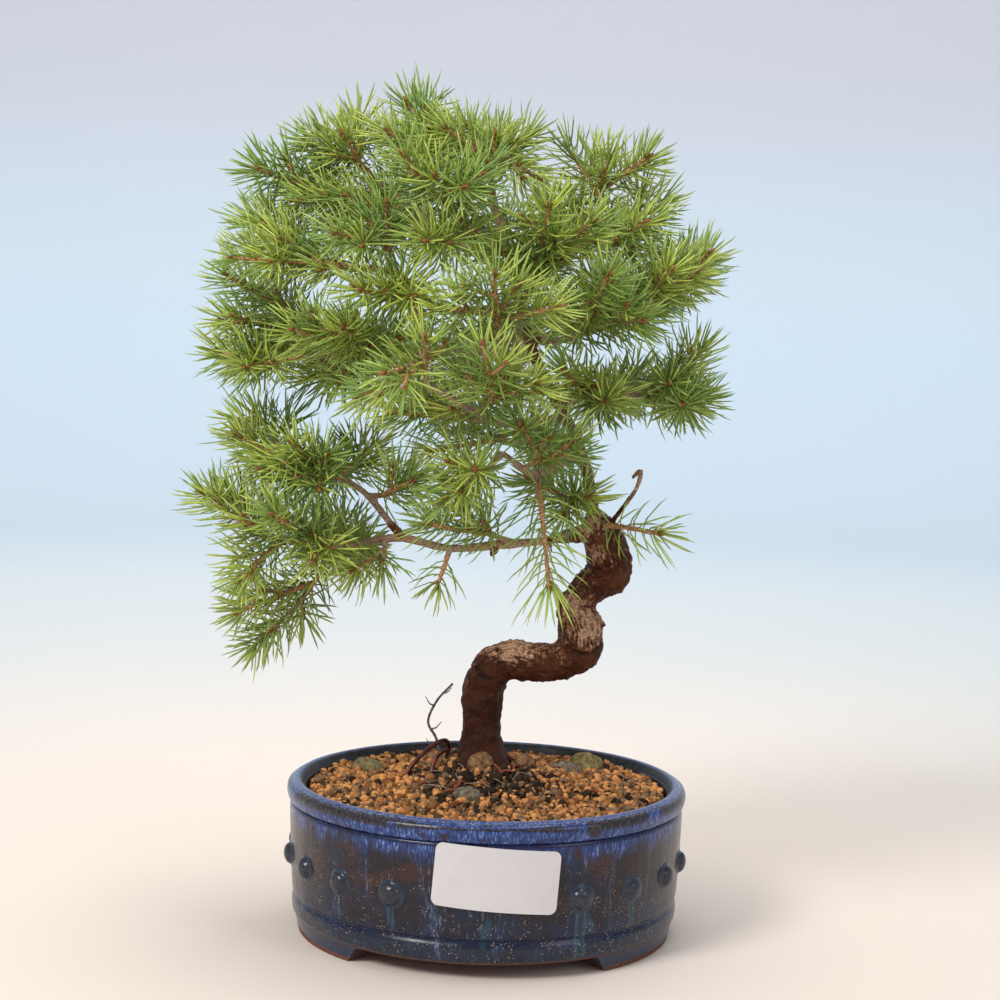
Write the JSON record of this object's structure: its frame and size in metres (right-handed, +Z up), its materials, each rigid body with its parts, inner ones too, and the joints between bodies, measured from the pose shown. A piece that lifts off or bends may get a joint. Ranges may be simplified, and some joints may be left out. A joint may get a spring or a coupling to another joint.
{
  "type": "potted spruce bonsai",
  "caption": "Small spruce bonsai with a coiled bark trunk, slim limbs and tufts of green needles, in a round blue-brown glazed drum pot with gritty soil, on short feet",
  "frame": {"origin": "on the ground, under the middle of the whole object's bounding box", "axes": "+Z up along the tree, -Y toward the front of the pot, where the label is, +X to the right seen from the front"},
  "size_m": [0.2432, 0.1996, 0.3784],
  "materials": {
    "glaze": "mottled blue and brown glossy glaze",
    "grit": "rough clay grit and dark peat",
    "bark": "scaly fissured bark",
    "needles": "satin green needles on brown twigs",
    "label": "glossy white film",
    "wire": "brown anodised wire",
    "dry_wood": "grey dry twig"
  },
  "bodies": {
    "root": {"pot": "glaze", "soil": "grit", "trunk": "bark", "label": "label", "tie_wire_1": "wire", "tie_wire_2": "wire", "dry_twig": "dry_wood", "spray_back_1": "needles", "spray_back_2": "needles", "spray_back_high_1": "needles", "spray_back_low_1": "needles", "spray_back_low_2": "needles", "spray_front_1": "needles", "spray_front_2": "needles", "spray_front_3": "needles", "spray_front_high_1": "needles", "spray_front_low_1": "needles", "spray_front_low_2": "needles", "spray_front_low_3": "needles", "spray_front_top_1": "needles", "spray_front_top_2": "needles", "spray_left_shelf_1": "needles", "spray_left_shelf_2": "needles", "spray_left_shelf_3": "needles", "spray_left_shelf_4": "needles", "spray_left_shelf_5": "needles", "spray_low_left_1": "needles", "spray_low_left_2": "needles", "spray_low_left_3": "needles", "spray_low_left_4": "needles", "spray_low_left_5": "needles", "spray_low_left_6": "needles", "spray_low_left_7": "needles", "spray_mid_left_1": "needles", "spray_mid_left_2": "needles", "spray_mid_left_3": "needles", "spray_mid_left_4": "needles", "spray_right_1": "needles", "spray_right_2": "needles", "spray_right_3": "needles", "spray_right_4": "needles", "spray_right_low_1": "needles", "spray_right_mid_1": "needles", "spray_right_mid_2": "needles", "spray_right_mid_3": "needles", "spray_right_mid_4": "needles", "spray_top_1": "needles", "spray_top_2": "needles", "spray_top_left_1": "needles", "spray_top_left_2": "needles", "spray_top_left_3": "needles", "spray_top_left_4": "needles", "spray_top_right_1": "needles", "spray_top_right_2": "needles", "spray_top_right_3": "needles", "spray_top_right_4": "needles", "spray_trunk_top_1": "needles", "spray_upper_left_1": "needles", "spray_upper_left_2": "needles", "spray_upper_left_3": "needles"}
  },
  "joints": []
}
